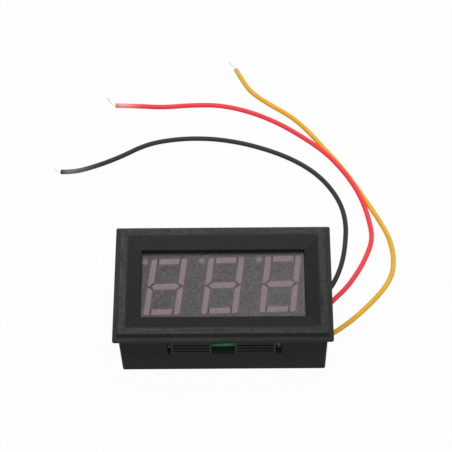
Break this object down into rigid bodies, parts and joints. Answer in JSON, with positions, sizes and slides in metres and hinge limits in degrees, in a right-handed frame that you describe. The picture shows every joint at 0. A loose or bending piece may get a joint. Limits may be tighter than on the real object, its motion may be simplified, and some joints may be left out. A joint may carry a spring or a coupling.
{
  "type": "panel voltmeter",
  "caption": "Small panel voltmeter with a digital display in a black snap-in case and three hook-up wires.",
  "frame": {"origin": "centre of the case's rear rim, on the table that the meter lies on", "axes": "+X along the face to the side where the wires leave, +Y to the top of the digits, +Z out of the face"},
  "size_m": [0.081, 0.0876, 0.0175],
  "materials": {
    "case_plastic": "black moulded plastic with a fine satin grain",
    "shell_grey": "grey display face, satin",
    "bar_resin": "milky pinkish resin in the light wells",
    "point_resin": "milky grey resin",
    "clear_film": "thin matt clear protective film",
    "carrier_board": "bare glass-filled board",
    "board_green": "green solder mask on a glass-filled board",
    "light_chip": "semiconductor chips",
    "tinned_metal": "tinned leads",
    "solder": "bright solder",
    "chip_black": "black moulding compound",
    "resistor_black": "black glaze between white ends",
    "capacitor_tan": "tan ceramic",
    "trimmer_white": "off-white plastic",
    "trimmer_metal": "plated steel disc",
    "black_insulation": "black flexible insulation",
    "red_insulation": "red flexible insulation",
    "yellow_insulation": "amber yellow flexible insulation"
  },
  "bodies": {
    "meter": {"housing": "case_plastic", "display_shell": "shell_grey", "segments_left": "bar_resin", "segments_middle": "bar_resin", "segments_right": "bar_resin", "decimal_points": "point_resin", "display_film": "clear_film", "display_carrier": "carrier_board", "light_chips": "light_chip", "display_pins": "tinned_metal", "circuit_board": "board_green", "pin_solder": "solder", "microcontroller": "chip_black", "microcontroller_leads": "tinned_metal", "voltage_regulator": "chip_black", "regulator_leads": "tinned_metal", "protection_diode": "chip_black", "diode_tabs": "tinned_metal", "segment_resistors": "resistor_black", "divider_resistors": "resistor_black", "filter_capacitors": "capacitor_tan", "trimmer_base": "trimmer_white", "trimmer_tabs": "tinned_metal", "soldered_ends": "tinned_metal", "wire_solder": "solder", "black_wire": "black_insulation", "red_wire": "red_insulation", "yellow_wire": "yellow_insulation", "black_tip": "tinned_metal", "red_tip": "tinned_metal", "yellow_tip": "tinned_metal"},
    "trimmer_disc": {"trimmer_rotor": "trimmer_metal"}
  },
  "joints": [
    {"name": "trimmer_turn", "type": "hinge", "parent": "meter", "child": "trimmer_disc", "pos_m": [0.00839, 0.00058, 0.005], "axis": [0, 0, -1], "range_deg": [-125, 125]}
  ]
}
